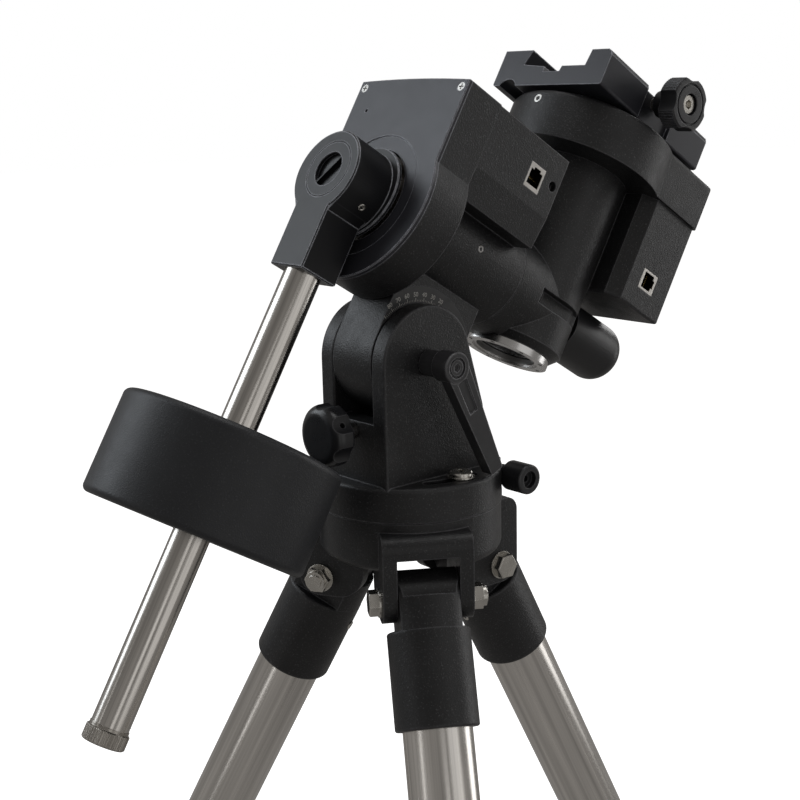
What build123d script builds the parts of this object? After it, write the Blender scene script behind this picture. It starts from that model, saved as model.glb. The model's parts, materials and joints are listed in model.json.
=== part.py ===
from build123d import *
import math
import os

# Computerised equatorial mount on a three-legged tube tripod.
# Millimetres, +Z up. Origin: the floor point under the azimuth axis.
# -Y is the side the polar axis points to (its upper end), +X is the side with the latitude lever.

# ---------------------------------------------------------------- driving dimensions
SEAM = 660.0            # height of the joint between fork base and tripod head
LATITUDE = 31.35        # tilt of the polar axis above the horizon, degrees
ALT_Y, ALT_Z = -11.8, SEAM + 84.3      # altitude pivot, parallel to X
RA_OFFSET = 68.8        # altitude pivot to polar axis
RA_S0 = 11.6            # station of the altitude pivot along the polar axis
S_DEC = -69.7           # station of the declination axis along the polar axis

BASE_R, BASE_H = 52.5, 19.3            # fork base disc
FORK_XC, FORK_GAP, EAR_T = 3.7, 33.0, 10.8
EAR_R = 31.1
EAR_FRONT, EAR_REAR = -42.9, 28.7
BAR_TOP = 53.3
PEG_Y, PEG_R = 42.6, 4.0
AZ_Z = 12.4                            # height of the azimuth adjusters above the seam
LOCK_R = 41.0                          # radius of the azimuth lock screws
LEVER_END = 54.5
WORM_Z = 47.8

HEAD_R, HEAD_H = 52.0, 29.0            # tripod head
LEG_AZ = (58.1, 178.1, 298.1)          # leg directions, degrees from -Y towards +X
CLEVIS_W, CLEVIS_GAP, CLEVIS_OUT = 50.0, 34.2, 60.0
PIVOT_RHO, PIVOT_Z = 46.7, -45.0       # leg pivot, from the azimuth axis and the seam
SPLAY = 27.4
TUBE_R, LOWER_R = 19.05, 15.9
SOCKET_R = 23.0
TONGUE_W = 33.2

PLATE_HW, PLATE_TOP, PLATE_CROWN = 44.05, 69.4, 70.6
DRUM_R, PLATE_S, DRUM_S = 49.0, 71.0, 44.0
BOX_REAR = -18.0
TUBE_RA = 32.0                         # rear tube of the polar housing
RA_SEAM = -29.0
SHAFT_R = 20.0
CW_S, CW_SHAFT_R = 88.3, 10.0
CW_R, CW_TOP, CW_BOT = 60.0, -145.5, -202.0
SHAFT_END = -305.0
HOLDER_R, HOLDER_HW, HOLDER_BOT = 23.9, 12.4, -56.0
FLANGE_R = 26.6

COL_R, COL_BOT = 31.9, -28.5           # declination column
RING_R, RING_T = 26.5, -33.0
DHEAD_R, DHEAD_LO, DHEAD_HI = 52.0, 87.2, 116.3
DEXT_HW, DEXT_S = 46.0, -139.5
DBOX_HW, DBOX_S0, DBOX_S1, DBOX_T = 44.0, -91.4, -137.0, 21.8
SAD_S0, SAD_S1, SAD_HW = -18.5, -121.0, 42.8
SAD_LO, SAD_FLOOR, SAD_HI = 119.0, 131.6, 143.0
KNOB_T = 135.0

phi = math.radians(LATITUDE)
AXIS_A = Vector(0, -math.cos(phi), math.sin(phi))      # up the polar axis
AXIS_U = Vector(0, math.sin(phi), math.cos(phi))       # along the declination axis
RA_ORIGIN = (Vector(0, ALT_Y, ALT_Z) + AXIS_U * RA_OFFSET - AXIS_A * RA_S0)
RA_LOC = Location(Plane(origin=RA_ORIGIN, x_dir=(1, 0, 0), z_dir=tuple(AXIS_A)))
# In the polar frame X is across, Y is along the declination axis, Z is up the polar axis.

LOW = (Align.CENTER, Align.CENTER, Align.MIN)


# ---------------------------------------------------------------- helpers
def box(x0, x1, y0, y1, z0, z1):
    return Pos((x0 + x1) / 2, (y0 + y1) / 2, (z0 + z1) / 2) * Box(abs(x1 - x0), abs(y1 - y0), abs(z1 - z0))


def cz(r, z0, z1, x=0.0, y=0.0):
    return Pos(x, y, min(z0, z1)) * Cylinder(r, abs(z1 - z0), align=LOW)


def cx(r, x0, x1, y=0.0, z=0.0):
    return Pos(min(x0, x1), y, z) * Rot(0, 90, 0) * Cylinder(r, abs(x1 - x0), align=LOW)


def cy(r, y0, y1, x=0.0, z=0.0):
    return Pos(x, min(y0, y1), z) * Rot(-90, 0, 0) * Cylinder(r, abs(y1 - y0), align=LOW)


def prism_z(pts, z0, z1):
    return Pos(0, 0, z0) * extrude(make_face(Polyline(*[(p[0], p[1], 0) for p in pts], close=True)), z1 - z0, dir=(0, 0, 1))


def prism_x(pts, x0, x1):
    # points are (y, z)
    f = make_face(Polyline(*[(x0, p[0], p[1]) for p in pts], close=True))
    return extrude(f, abs(x1 - x0), dir=(1, 0, 0))


def prism_y(pts, y0, y1):
    # points are (x, z)
    f = make_face(Polyline(*[(p[0], y0, p[1]) for p in pts], close=True))
    return extrude(f, abs(y1 - y0), dir=(0, 1, 0))


def soft(shape, edges, r):
    edges = list(edges)
    for k in (1.0, 0.6, 0.35):
        try:
            out = fillet(edges, r * k)
            if out.is_valid and out.volume > 0:
                return out
        except Exception:
            pass
    print("no fillet of", r, "on", len(edges), "edges")
    return shape


def cham(shape, edges, r):
    edges = list(edges)
    for k in (1.0, 0.5):
        try:
            out = chamfer(edges, r * k)
            if out.is_valid and out.volume > 0:
                return out
        except Exception:
            pass
    print("no chamfer of", r)
    return shape


def circles(shape, r, tol=0.05):
    return [e for e in shape.edges() if e.geom_type == GeomType.CIRCLE and abs(e.radius - r) < tol]


def gear(ri, ro, teeth, bore, h, z0):
    pts = []
    for i in range(teeth):
        a0 = 2 * math.pi * i / teeth
        q = 2 * math.pi / teeth
        for r, k in ((ri, 0.0), (ri, 0.25), (ro, 0.42), (ro, 0.83)):
            pts.append((r * math.cos(a0 + q * k), r * math.sin(a0 + q * k)))
    body = prism_z(pts, z0, z0 + h)
    return body - cz(bore, z0 - 1, z0 + h + 1)


def grooved(r, groove, x0, x1, pitch):
    # a worm's thread drawn as a stack of grooves on a cylinder along X
    pts = [(x0, 0.0)]
    x = x0
    while x + pitch <= x1 + 1e-6:
        pts += [(x, groove), (x + pitch * 0.25, r), (x + pitch * 0.6, r), (x + pitch * 0.85, groove)]
        x += pitch
    pts += [(x, groove), (x, 0.0)]
    f = make_face(Polyline(*[(p[0], p[1], 0) for p in pts], close=True))
    return revolve(f, Axis((0, 0, 0), (1, 0, 0)), 360)


def hex_prism(af, h):
    return extrude(RegularPolygon(af / math.sqrt(3), 6), h)


def put(name, *solids):
    flat = []
    for s in solids:
        flat += list(s.solids())
    shape = flat[0] if len(flat) == 1 else Compound(children=flat)
    export_step(shape, "parts/" + name + ".step")


def put_ra(name, *solids):
    put(name, *[RA_LOC * s for s in solids])


os.makedirs("parts", exist_ok=True)


# ---------------------------------------------------------------- tripod head
def leg_frame(az):
    d = math.radians(az)
    rad = Vector(math.sin(d), -math.cos(d), 0)
    # X radial, Y tangential, Z up, origin at the seam on the azimuth axis
    return Location(Plane(origin=(0, 0, SEAM), x_dir=tuple(rad), z_dir=(0, 0, 1)))


head = cz(HEAD_R, SEAM - HEAD_H, SEAM - 0.3)
head = soft(head, [e for e in circles(head, HEAD_R) if e.center().Z < SEAM - 10], 6)
head -= cz(44, SEAM - HEAD_H - 1, SEAM - 9)
head += cz(17, SEAM - HEAD_H + 2, SEAM - 5)
for az in LEG_AZ:
    L = leg_frame(az)
    arm = box(20, CLEVIS_OUT, -CLEVIS_W / 2, CLEVIS_W / 2, -56, -5.5)
    arm = soft(arm, [e for e in arm.edges() if abs(e.center().X - CLEVIS_OUT) < 0.1 and e.center().Z > -7], 8)
    arm = soft(arm, [e for e in arm.edges() if abs(e.center().X - CLEVIS_OUT) < 0.1 and e.center().Z < -55], 12)
    arm = soft(arm, [e for e in arm.edges() if abs(e.center().X - 20) < 0.1 and e.center().Z < -55], 16)
    arm -= box(12, CLEVIS_OUT + 5, -CLEVIS_GAP / 2, CLEVIS_GAP / 2, -70, -18)
    arm -= box(12, 27.5, -14, 14, -70, -8)
    arm -= cy(4.05, -40, 40, x=PIVOT_RHO, z=PIVOT_Z)
    head += L * arm
for az in LEG_AZ:
    head -= leg_frame(az) * box(26, 75, -CLEVIS_GAP / 2, CLEVIS_GAP / 2, -70, -18)
# bore for the fork's centre spigot, and the socket of the azimuth post
head -= cz(12.06, SEAM - 24, SEAM + 5)
head -= cz(PEG_R, SEAM - 8.5, SEAM + 1, 0, PEG_Y)
for sx in (1, -1):
    head -= cz(4.0, SEAM - 12, SEAM + 1, sx * LOCK_R, sx * 1.6)
# the azimuth post stands in the head and is one piece with it here
head += cz(PEG_R, SEAM - 8.5, SEAM + 16.0, 0, PEG_Y)
put("tripod_head", head)

# leg pivot bolts: hex head, shank and lock nut, three sets
sets = []
for az in LEG_AZ:
    L = leg_frame(az)
    hy = CLEVIS_W / 2
    shank = cy(4.0, -hy - 1.4, hy + 9.4, x=PIVOT_RHO, z=PIVOT_Z)
    hexh = Pos(PIVOT_RHO, -hy - 1.4, PIVOT_Z) * Rot(90, 0, 0) * hex_prism(13, 5.4)
    hexh = cham(hexh, [e for e in hexh.edges() if abs(e.center().Y - (-hy - 6.8)) < 0.05], 0.6)
    was = cy(8.2, -hy - 1.4, -hy, x=PIVOT_RHO, z=PIVOT_Z)
    bolt = shank + hexh + was
    sets.append(L * bolt)
    nut = Pos(PIVOT_RHO, hy + 1.4, PIVOT_Z) * Rot(-90, 0, 0) * hex_prism(13, 5.2)
    nut += cy(5.9, hy + 1.4, hy + 8.6, x=PIVOT_RHO, z=PIVOT_Z)
    nut += cy(8.2, hy, hy + 1.4, x=PIVOT_RHO, z=PIVOT_Z)
    nut -= cy(4.0, hy - 1, hy + 12, x=PIVOT_RHO, z=PIVOT_Z)
    sets.append(L * nut)
put("leg_pivot_bolts", *sets)

# ---------------------------------------------------------------- legs
LEG_LEN = (SEAM + PIVOT_Z) / math.cos(math.radians(SPLAY))      # pivot to floor along the leg


def leg_loc(az):
    d = math.radians(az)
    rad = Vector(math.sin(d), -math.cos(d), 0)
    b = math.radians(SPLAY)
    down = rad * math.sin(b) + Vector(0, 0, -math.cos(b))
    tang = Vector(-rad.Y, rad.X, 0)
    org = rad * PIVOT_RHO + Vector(0, 0, SEAM + PIVOT_Z)
    # Z runs down the leg from the pivot, Y is the pivot's direction
    return Location(Plane(origin=tuple(org), x_dir=tuple(tang.cross(down)), z_dir=tuple(down)))


SOCK0, SOCK1 = 17.0, 70.0
UP1 = 455.0
COL0, COL1 = 436.0, 492.0
for n, az in enumerate(LEG_AZ, 1):
    L = leg_loc(az)
    sock = cz(SOCKET_R, SOCK0, SOCK1)
    sock = soft(sock, circles(sock, SOCKET_R), 1.5)
    tongue = cz(SOCKET_R - 0.2, -16, SOCK0 + 6) & box(-40, 40, -TONGUE_W / 2, TONGUE_W / 2, -30, 60)
    tongue -= box(-40, 40, -40, 40, -40, 0) - cy(17.5, -50, 50)
    sock += tongue
    sock -= cz(TUBE_R, 22, SOCK1 + 1)
    sock -= cy(4.06, -40, 40)
    # relief between the tongue's two walls
    sock -= box(-9.5, 9.5, -10.5, 10.5, 6.5, 30)
    put("leg_%d_socket" % n, L * sock)
    tube = cz(TUBE_R, 22, UP1) - cz(TUBE_R - 1.3, 20, UP1 + 2)
    put("leg_%d_tube" % n, L * tube)
    # clamp collar with a split ear for the clamp knob
    col = cz(23.0, COL0, COL1)
    col = soft(col, circles(col, 23.0), 1.5)
    col += box(-33, -14, -9, 9, COL0 + 10, COL1 - 10)
    col -= cz(TUBE_R, COL0 - 1, UP1)
    col -= cz(LOWER_R + 0.06, UP1 - 1, COL1 + 1)
    col -= box(-36, -15.9, -1.2, 1.2, COL0 - 1, COL1 + 1)
    col -= cy(3.05, -12, 12, x=-27.5, z=(COL0 + COL1) / 2)
    put("leg_%d_collar" % n, L * col)
    zc = (COL0 + COL1) / 2
    knob = cy(3.0, -10.5, 21, x=-27.5, z=zc) + cy(5.5, 9.4, 21, x=-27.5, z=zc)
    wing = box(-27.5 - 15, -27.5 + 15, 19.9, 25.4, zc - 5, zc + 5)
    wing = soft(wing, wing.edges().filter_by(Axis.Y), 4.5)
    knob += wing
    put("leg_%d_lock_knob" % n, L * knob)
    low = cz(LOWER_R, 150, LEG_LEN - 20) - cz(LOWER_R - 1.3, 148, LEG_LEN + 2)
    put("leg_%d_lower_tube" % n, L * low)
    # moulded foot, cut level with the floor
    foot = cz(LOWER_R - 1.3, LEG_LEN - 60, LEG_LEN - 24) + cz(19.0, LEG_LEN - 48, LEG_LEN + 16)
    foot -= (cz(19.5, LEG_LEN - 49, LEG_LEN - 20) - cz(LOWER_R - 1.3, LEG_LEN - 60, LEG_LEN - 10)) & cz(LOWER_R, LEG_LEN - 49, LEG_LEN - 20)
    foot = L * foot
    foot = foot & Pos(0, 0, 500) * Box(2000, 2000, 1000)
    put("leg_%d_foot" % n, foot)

# ---------------------------------------------------------------- fork
XL0, XL1 = FORK_XC - FORK_GAP / 2 - EAR_T, FORK_XC - FORK_GAP / 2
XR0, XR1 = FORK_XC + FORK_GAP / 2, FORK_XC + FORK_GAP / 2 + EAR_T
fork = cz(BASE_R, SEAM, SEAM + BASE_H)
fork = soft(fork, [e for e in circles(fork, BASE_R) if e.center().Z > SEAM + 10], 2.2)
qy, qz = EAR_REAR - ALT_Y, SEAM + 56.5 - ALT_Z
dist = math.hypot(qy, qz)
tang = math.atan2(qz, qy) + math.acos(EAR_R / dist)
ty, tz = ALT_Y + EAR_R * math.cos(tang), ALT_Z + EAR_R * math.sin(tang)


def ear(x0, x1):
    mid = (ALT_Y + EAR_R * math.cos((tang + math.pi) / 2), ALT_Z + EAR_R * math.sin((tang + math.pi) / 2))
    w = [
        Line((x0, EAR_FRONT, SEAM + BASE_H - 4), (x0, EAR_FRONT, SEAM + 60)),
        Line((x0, EAR_FRONT, SEAM + 60), (x0, ALT_Y - EAR_R, ALT_Z)),
        ThreePointArc((x0, ALT_Y - EAR_R, ALT_Z), (x0, mid[0], mid[1]), (x0, ty, tz)),
        Line((x0, ty, tz), (x0, EAR_REAR, SEAM + 56.5)),
        Line((x0, EAR_REAR, SEAM + 56.5), (x0, EAR_REAR, SEAM + BASE_H - 4)),
        Line((x0, EAR_REAR, SEAM + BASE_H - 4), (x0, EAR_FRONT, SEAM + BASE_H - 4)),
    ]
    return extrude(make_face(Wire(w)), x1 - x0, dir=(1, 0, 0))


for x0, x1 in ((XL0, XL1), (XR0, XR1)):
    e = ear(x0, x1)
    e = soft(e, [k for k in e.edges() if k.geom_type == GeomType.CIRCLE], 1.2)
    fork += e
fork += box(XL1 - 1, XR0 + 1, EAR_FRONT, EAR_FRONT + 12, SEAM + BASE_H - 2, SEAM + BAR_TOP)
fork += box(XL1 - 1, XR0 + 1, 13, 23, SEAM + BASE_H - 2, SEAM + 55)
# centre spigot in the tripod head
fork += cz(12.0, SEAM - 22, SEAM + 1)
# pocket for the azimuth post, open downwards
fork -= box(-13.5, 13.5, PEG_Y - 6, PEG_Y + 5.5, SEAM - 1, SEAM + 16.6)
# boss that carries the two azimuth screws
for sx in (1, -1):
    fork += cx(8.6, sx * 20, sx * 30.5, PEG_Y, SEAM + AZ_Z) & cz(BASE_R, SEAM, SEAM + 60)
    fork -= cx(3.05, sx * 12, sx * 40, PEG_Y, SEAM + AZ_Z) + cx(9.3, sx * 34.2, sx * 60, PEG_Y, SEAM + AZ_Z) + cx(5.6, sx * 31.0, sx * 60, PEG_Y, SEAM + AZ_Z)
# bores for the altitude axle and for the latitude worm
fork -= cx(6.0, XL0 - 1, XR1 + 1, ALT_Y, ALT_Z)
fork -= cy(4.05, EAR_FRONT - 2, 30, FORK_XC, SEAM + WORM_Z)


# arc slots for the azimuth lock screws
def arc_slot(a0, a1, r, hw, z0, z1):
    a0, a1 = math.radians(a0), math.radians(a1)
    n = 14
    pts = [((r + hw) * math.cos(a0 + (a1 - a0) * i / n), (r + hw) * math.sin(a0 + (a1 - a0) * i / n)) for i in range(n + 1)]
    pts += [((r - hw) * math.cos(a1 - (a1 - a0) * i / n), (r - hw) * math.sin(a1 - (a1 - a0) * i / n)) for i in range(n + 1)]
    s = prism_z(pts, z0, z1)
    for a in (a0, a1):
        s += cz(hw, z0, z1, r * math.cos(a), r * math.sin(a))
    return s


for off in (0, 180):
    fork -= arc_slot(off - 26, off + 15, LOCK_R, 3.6, SEAM - 1, SEAM + BASE_H + 1)
fork = fork.solids().sort_by(SortBy.VOLUME)[-1]
put("fork_base", fork)

axle = cx(6.0, XL0 - 0.5, LEVER_END - 26, ALT_Y, ALT_Z)
put("altitude_axle", axle)

# latitude worm with its lobed knob
wy0, wy1 = EAR_FRONT + 12.6, 12.4
worm = Pos(FORK_XC, 0, SEAM + WORM_Z) * Rot(0, 0, 90) * grooved(5.6, 4.6, -26, 8, 2.0)
KY0, KY1 = EAR_FRONT - 25.0, EAR_FRONT - 12.0
worm += cy(4.0, KY1 - 4.0, 24.5, FORK_XC, SEAM + WORM_Z) + cy(4.6, KY1 + 2.2, EAR_FRONT - 0.4, FORK_XC, SEAM + WORM_Z)
put("altitude_worm", worm)
lob = cy(17.3, KY0, KY1)
lob = soft(lob, [e for e in circles(lob, 17.3) if e.center().Y < KY0 + 1], 6.0)
lob = soft(lob, [e for e in circles(lob, 17.3) if e.center().Y > KY1 - 1], 2.2)
for i in range(6):
    a = math.radians(90 + 60 * i)
    lob -= cy(8.5, KY0 - 1, KY1 + 1, x=23.4 * math.cos(a), z=23.4 * math.sin(a))
lob += cy(7.5, KY1 - 1, KY1 + 2.2)
lob -= cy(4.0, KY0 + 5, KY1 + 5)
lob -= Pos(0, (KY0 + KY1) / 2 + 1, 0) * Rot(0, -30, 0) * cx(1.6, 6, 24)
put("altitude_knob", Pos(FORK_XC, 0, SEAM + WORM_Z) * lob)

# latitude lock lever: hub on the altitude axis with a long flat arm
lev = cx(7.3, XR1 + 0.4, XR1 + 15, ALT_Y, ALT_Z) + cx(8.6, XR1 + 12, LEVER_END, ALT_Y, ALT_Z)
lev = soft(lev, [e for e in circles(lev, 8.6) if abs(e.center().X - LEVER_END) < 0.1], 0.8)
ang = math.radians(24.6)
dy, dz = math.sin(ang), -math.cos(ang)
ny, nz = math.cos(ang), math.sin(ang)


def lp(along, side):
    return (ALT_Y + dy * along + ny * side, ALT_Z + dz * along + nz * side)


arm = prism_x([lp(0, -7.6), lp(0, 8.2), lp(68.4, 5.2), lp(68.4, -3.6)], LEVER_END - 8.4, LEVER_END - 0.6)
arm = soft(arm, arm.edges().filter_by(Axis.X), 0.8)
lev += arm
lev -= prism_x([lp(8.6, -3.2), lp(8.6, 3.6), lp(28.5, 3.2), lp(28.5, -2.7)], LEVER_END - 1.6, LEVER_END + 1)
lev -= cx(5.6, LEVER_END - 1.6, LEVER_END + 1, ALT_Y, ALT_Z)
lev += cx(4.4, LEVER_END - 2.4, LEVER_END - 0.4, ALT_Y, ALT_Z) - Pos(LEVER_END - 2.2, ALT_Y, ALT_Z) * Rot(0, 90, 0) * hex_prism(4, 4)
lev -= cx(6.06, XR1, LEVER_END - 25.8, ALT_Y, ALT_Z)
put("altitude_lock_lever", lev)

# azimuth adjusting knobs with their screws
for sx, nm in ((1, "right"), (-1, "left")):
    k = cx(8.6, sx * 38.3, sx * 54.0)
    k = soft(k, circles(k, 8.6), 1.2)
    k -= cx(4.9, sx * 50.5, sx * 56)
    k -= cx(2.0, sx * 46, sx * 52)
    k += cx(3.0, sx * 13.2, sx * 39) + cx(5.0, sx * 31.4, sx * 39)
    put("azimuth_knob_" + nm, Pos(0, PEG_Y, SEAM + AZ_Z) * k)

# azimuth lock screws, through the arc slots into the tripod head
for sx, nm in ((1, "right"), (-1, "left")):
    z0 = SEAM + BASE_H + 0.3
    s = cz(6.6, z0 + 1.0, z0 + 3.6)
    s = soft(s, [e for e in circles(s, 6.6) if e.center().Z > z0 + 3], 1.2)
    s -= Pos(0, 0, z0 + 1.4) * hex_prism(4, 5)
    s += cz(7.6, z0, z0 + 1.0)
    s += cz(3.1, SEAM - 0.35, z0 + 1) + cz(3.95, SEAM - 11.5, SEAM - 0.35)
    put("azimuth_lock_screw_" + nm, Pos(sx * LOCK_R, sx * 1.6, 0) * s)


# ---------------------------------------------------------------- polar (RA) housing
def plate_outline(grow=0.0):
    hw, rr = PLATE_HW + grow, DRUM_R + grow
    ty_ = math.sqrt(rr * rr - hw * hw)
    w = [
        Line((-hw, ty_, 0), (-hw, PLATE_TOP + grow, 0)),
        ThreePointArc((-hw, PLATE_TOP + grow, 0), (0, PLATE_CROWN + grow, 0), (hw, PLATE_TOP + grow, 0)),
        Line((hw, PLATE_TOP + grow, 0), (hw, ty_, 0)),
        ThreePointArc((hw, ty_, 0), (0, -rr, 0), (-hw, ty_, 0)),
    ]
    return make_face(Wire(w))


def outline_z(grow, z0, z1):
    return Pos(0, 0, z0) * extrude(plate_outline(grow), z1 - z0, dir=(0, 0, 1))


PLATE_T = 2.8
front = outline_z(0, DRUM_S, PLATE_S - PLATE_T)
boxed = prism_z([(-44, 33), (-41.4, 14.8), (41.4, 14.8), (44, 33), (44, 68.9), (-44, 68.9)], BOX_REAR, DRUM_S + 1)
tube = cz(TUBE_RA, RA_SEAM, DRUM_S + 1)
web = box(FORK_XC - 16.1, FORK_XC + 16.1, -RA_OFFSET, -20, RA_S0 - 30.2, RA_S0 + 31.2)
tail = cx(31.2, FORK_XC - 16.1, FORK_XC + 16.1, -RA_OFFSET, RA_S0)
hous = front + boxed + tube + web + tail
# interior: worm-wheel chamber, electronics bay and the bore for the axis shaft
hous -= outline_z(-3.0, DRUM_S + 3.0, PLATE_S + 1)
hous -= box(-41, 41, 23.6, 65.9, BOX_REAR + 3, DRUM_S + 4)
hous -= cz(28.0, RA_SEAM - 1, RA_SEAM + 14)
hous -= cz(22.0, RA_SEAM + 12, DRUM_S + 4)
hous -= cz(28.0, DRUM_S - 10, DRUM_S + 4)
# bore for the altitude axle, hollow underside and the worm-wheel sector of the tail
hous -= cx(6.06, -40, 40, -RA_OFFSET, RA_S0)
hous -= box(FORK_XC - 10, FORK_XC + 10, -RA_OFFSET + 9, -33, RA_S0 - 22, RA_S0 + 22)
groove = (cx(33, FORK_XC - 7.5, FORK_XC + 7.5, -RA_OFFSET, RA_S0) - cx(30.2, FORK_XC - 8, FORK_XC + 8, -RA_OFFSET, RA_S0))
sector = Pos(0, -RA_OFFSET, RA_S0) * Rot(LATITUDE, 0, 0) * box(-20, 30, -60, -10, -29, 15)
hous -= groove & sector
for i in range(-11, 8):
    g = cx(0.75, FORK_XC - 7.5, FORK_XC + 7.5, 0, 0)
    th = math.radians(i * 360 / 95)
    hous -= Pos(0, -RA_OFFSET, RA_S0) * Rot(LATITUDE, 0, 0) * Pos(0, -30.2 * math.cos(th), 30.2 * math.sin(th)) * g
scale_ring = cx(40.2, FORK_XC + 15.9, FORK_XC + 16.15, -RA_OFFSET, RA_S0) - cx(31.6, FORK_XC + 10, FORK_XC + 20, -RA_OFFSET, RA_S0)
scale_ring = scale_ring & box(0, 40, -RA_OFFSET, -10, RA_S0 - 29.6, RA_S0 + 30.6)
hous -= scale_ring
# openings for the two sockets in the side of the box
PORT_S0, PORT_S1, PORT_T0, PORT_T1 = -4.2, 8.2, 41.2, 55.6
hous -= box(40, 46, PORT_T0, PORT_T1, PORT_S0, PORT_S1)
hous -= cx(2.9, 40, 46, 50.8, -12.8)
hous = hous.solids().sort_by(SortBy.VOLUME)[-1]
put_ra("ra_housing", hous)

# front plate with a shallow turned ring, screw pockets and a small sighting hole
pl = outline_z(0, PLATE_S - PLATE_T, PLATE_S)
pl = cham(pl, [e for e in pl.edges() if abs(e.center().Z - PLATE_S) < 0.01], 0.5)
pl -= cz(27.2, PLATE_S - 5, PLATE_S + 1)
pl -= cz(35.6, PLATE_S - 0.6, PLATE_S + 1)
for x in (-39.7, 39.7):
    pl -= cz(2.6, PLATE_S - 1.6, PLATE_S + 1, x, 65.0)
pl -= cz(1.0, PLATE_S - 5, PLATE_S + 1, -30, 50.8)
put_ra("front_plate", pl)
scr = []
for x, y in ((-39.7, 65.0), (39.7, 65.0)):
    s = cz(2.5, PLATE_S - 1.6, PLATE_S - 0.1, x, y)
    s -= box(x - 1.7, x + 1.7, y - 0.35, y + 0.35, PLATE_S - 0.8, PLATE_S + 1)
    s -= box(x - 0.35, x + 0.35, y - 1.7, y + 1.7, PLATE_S - 0.8, PLATE_S + 1)
    scr.append(s)
put_ra("plate_screws", *scr)

# modular socket for the hand controller
port = box(36, 44.0, PORT_T0, PORT_T1, PORT_S0, PORT_S1)
port -= box(37, 46, PORT_T0 + 2.3, PORT_T1 - 3.4, PORT_S0 + 1.3, PORT_S1 - 1.3)
port -= box(37, 46, PORT_T1 - 4, PORT_T1 - 1.9, PORT_S0 + 3.6, PORT_S1 - 3.6)
put_ra("hand_control_port", port)

# latitude scale: a flat ring segment on the side of the web
put_ra("latitude_scale", scale_ring)

board = box(-38, 38, 24.6, 64.0, BOX_REAR + 6, BOX_REAR + 7.6)
board += box(-20, 6, 30, 46, BOX_REAR + 7.6, BOX_REAR + 10) + box(14, 30, 36, 52, BOX_REAR + 7.6, BOX_REAR + 12)
put_ra("control_board", board)

RA_WORM_T, RA_WORM_S = 50.2, 57.2
wmot = cx(10.8, 25.2, 40.7, RA_WORM_T, RA_WORM_S) - cx(2.06, 24, 31, RA_WORM_T, RA_WORM_S)
put_ra("ra_motor", wmot)
rw = Pos(0, RA_WORM_T, RA_WORM_S) * grooved(6.0, 5.0, -16, 16, 2.0)
rw += cx(2.0, -24, 30.6, RA_WORM_T, RA_WORM_S)
put_ra("ra_worm", rw)
brg = []
for s0, s1 in ((RA_SEAM + 1.0, RA_SEAM + 13.0), (DRUM_S - 10, DRUM_S + 2)):
    b = cz(28.0, s0, s1) - cz(SHAFT_R + 0.05, s0 - 1, s1 + 1)
    b = cham(b, circles(b, 28.0), 0.6)
    brg.append(b)
put_ra("ra_bearings", *brg)

# ---------------------------------------------------------------- polar axis
shaft = cz(SHAFT_R, -37.0, 71.6) - cz(16.0, -38, 73)
put_ra("ra_shaft", shaft)
put_ra("ra_worm_wheel", gear(42.6, 43.7, 144, SHAFT_R, 13.0, 50.7))

# counterweight holder: round boss, block for the shaft and a thin rear flange
hold = cz(HOLDER_R, 72.0, 100.0, -1.4, -1.2)
hold = cham(hold, [e for e in circles(hold, HOLDER_R) if e.center().Z > 99], 0.9)
blk = box(-HOLDER_HW - 2.7, HOLDER_HW, HOLDER_BOT, 0, 75.5, 100.0)
neck = prism_z([(-20.2, -15.5), (-HOLDER_HW - 2.7, -22.5), (HOLDER_HW, -22.5), (17.4, -15.5), (17.4, -4), (-20.2, -4)], 75.5, 99.1)
blk = cham(blk, [e for e in blk.edges() if abs(e.center().Y - HOLDER_BOT) < 0.01], 0.8)
blk = cham(blk, [e for e in blk.edges().filter_by(Axis.Y) if e.center().Z > 99], 0.8)
hold += neck + blk
fl = cz(FLANGE_R, 71.6, 74.4)
fl = cham(fl, circles(fl, FLANGE_R), 0.5)
hold += fl
hold -= cz(16.3, 99.0, 101) - cz(15.8, 98.0, 102)
hold -= cz(9.8, 97.4, 102)
hold -= cz(11.5, 95.6, 97.5)
hold -= cz(9.4, 70, 96)
hold -= cy(CW_SHAFT_R, HOLDER_BOT - 1, -24, z=CW_S)
hold -= cx(2.2, 10.6, 13, -11.4, 79.0)
hold = hold.solids().sort_by(SortBy.VOLUME)[-1]
put_ra("counterweight_holder", hold)
win = cz(11.5, 95.6, 97.4)
bar = Pos(0, 0, 98.5) * Rot(0, 0, 52) * Box(24.0, 0.9, 2.2)
bar = bar & cz(9.8, 92, 102)
win += bar
put_ra("polar_window", win)

# declination housing: column, neck to the polar axis and drive box
colm = cy(COL_R, COL_BOT, DHEAD_LO, z=S_DEC)
colm = cham(colm, [e for e in circles(colm, COL_R) if abs(e.center().Y - COL_BOT) < 0.1], 4.5)
neckc = cz(31.6, S_DEC, RA_SEAM - 0.6)
neckc -= box(-40, 40, -40, COL_BOT, -110, -42.6)
dbox = prism_y([(-36.5, DBOX_S0), (36.5, DBOX_S0), (DBOX_HW, DBOX_S0 - 7.3), (DBOX_HW, DBOX_S1), (-DBOX_HW, DBOX_S1), (-DBOX_HW, DBOX_S0 - 7.3)], DBOX_T, DHEAD_LO)
dbox = soft(dbox, [e for e in dbox.edges() if abs(e.center().Y - DBOX_T) < 0.05], 1.6)
dec = colm + neckc + dbox
dec -= cy(24.5, COL_BOT - 1, DHEAD_LO + 4, z=S_DEC)
dec -= cz(16.0, -60, RA_SEAM + 1)
dec -= cz(SHAFT_R, -37.0, RA_SEAM + 1)
dec -= cz(15.5, S_DEC - 40, S_DEC)
dec -= box(-41, 41, DBOX_T + 3, DHEAD_LO + 6, DBOX_S1 + 3, DBOX_S0 - 12)
# bearing seats
dec -= cy(28.5, COL_BOT + 5.6, COL_BOT + 17.6, z=S_DEC) + cy(28.5, DHEAD_LO - 13, DHEAD_LO + 4, z=S_DEC)
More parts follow.
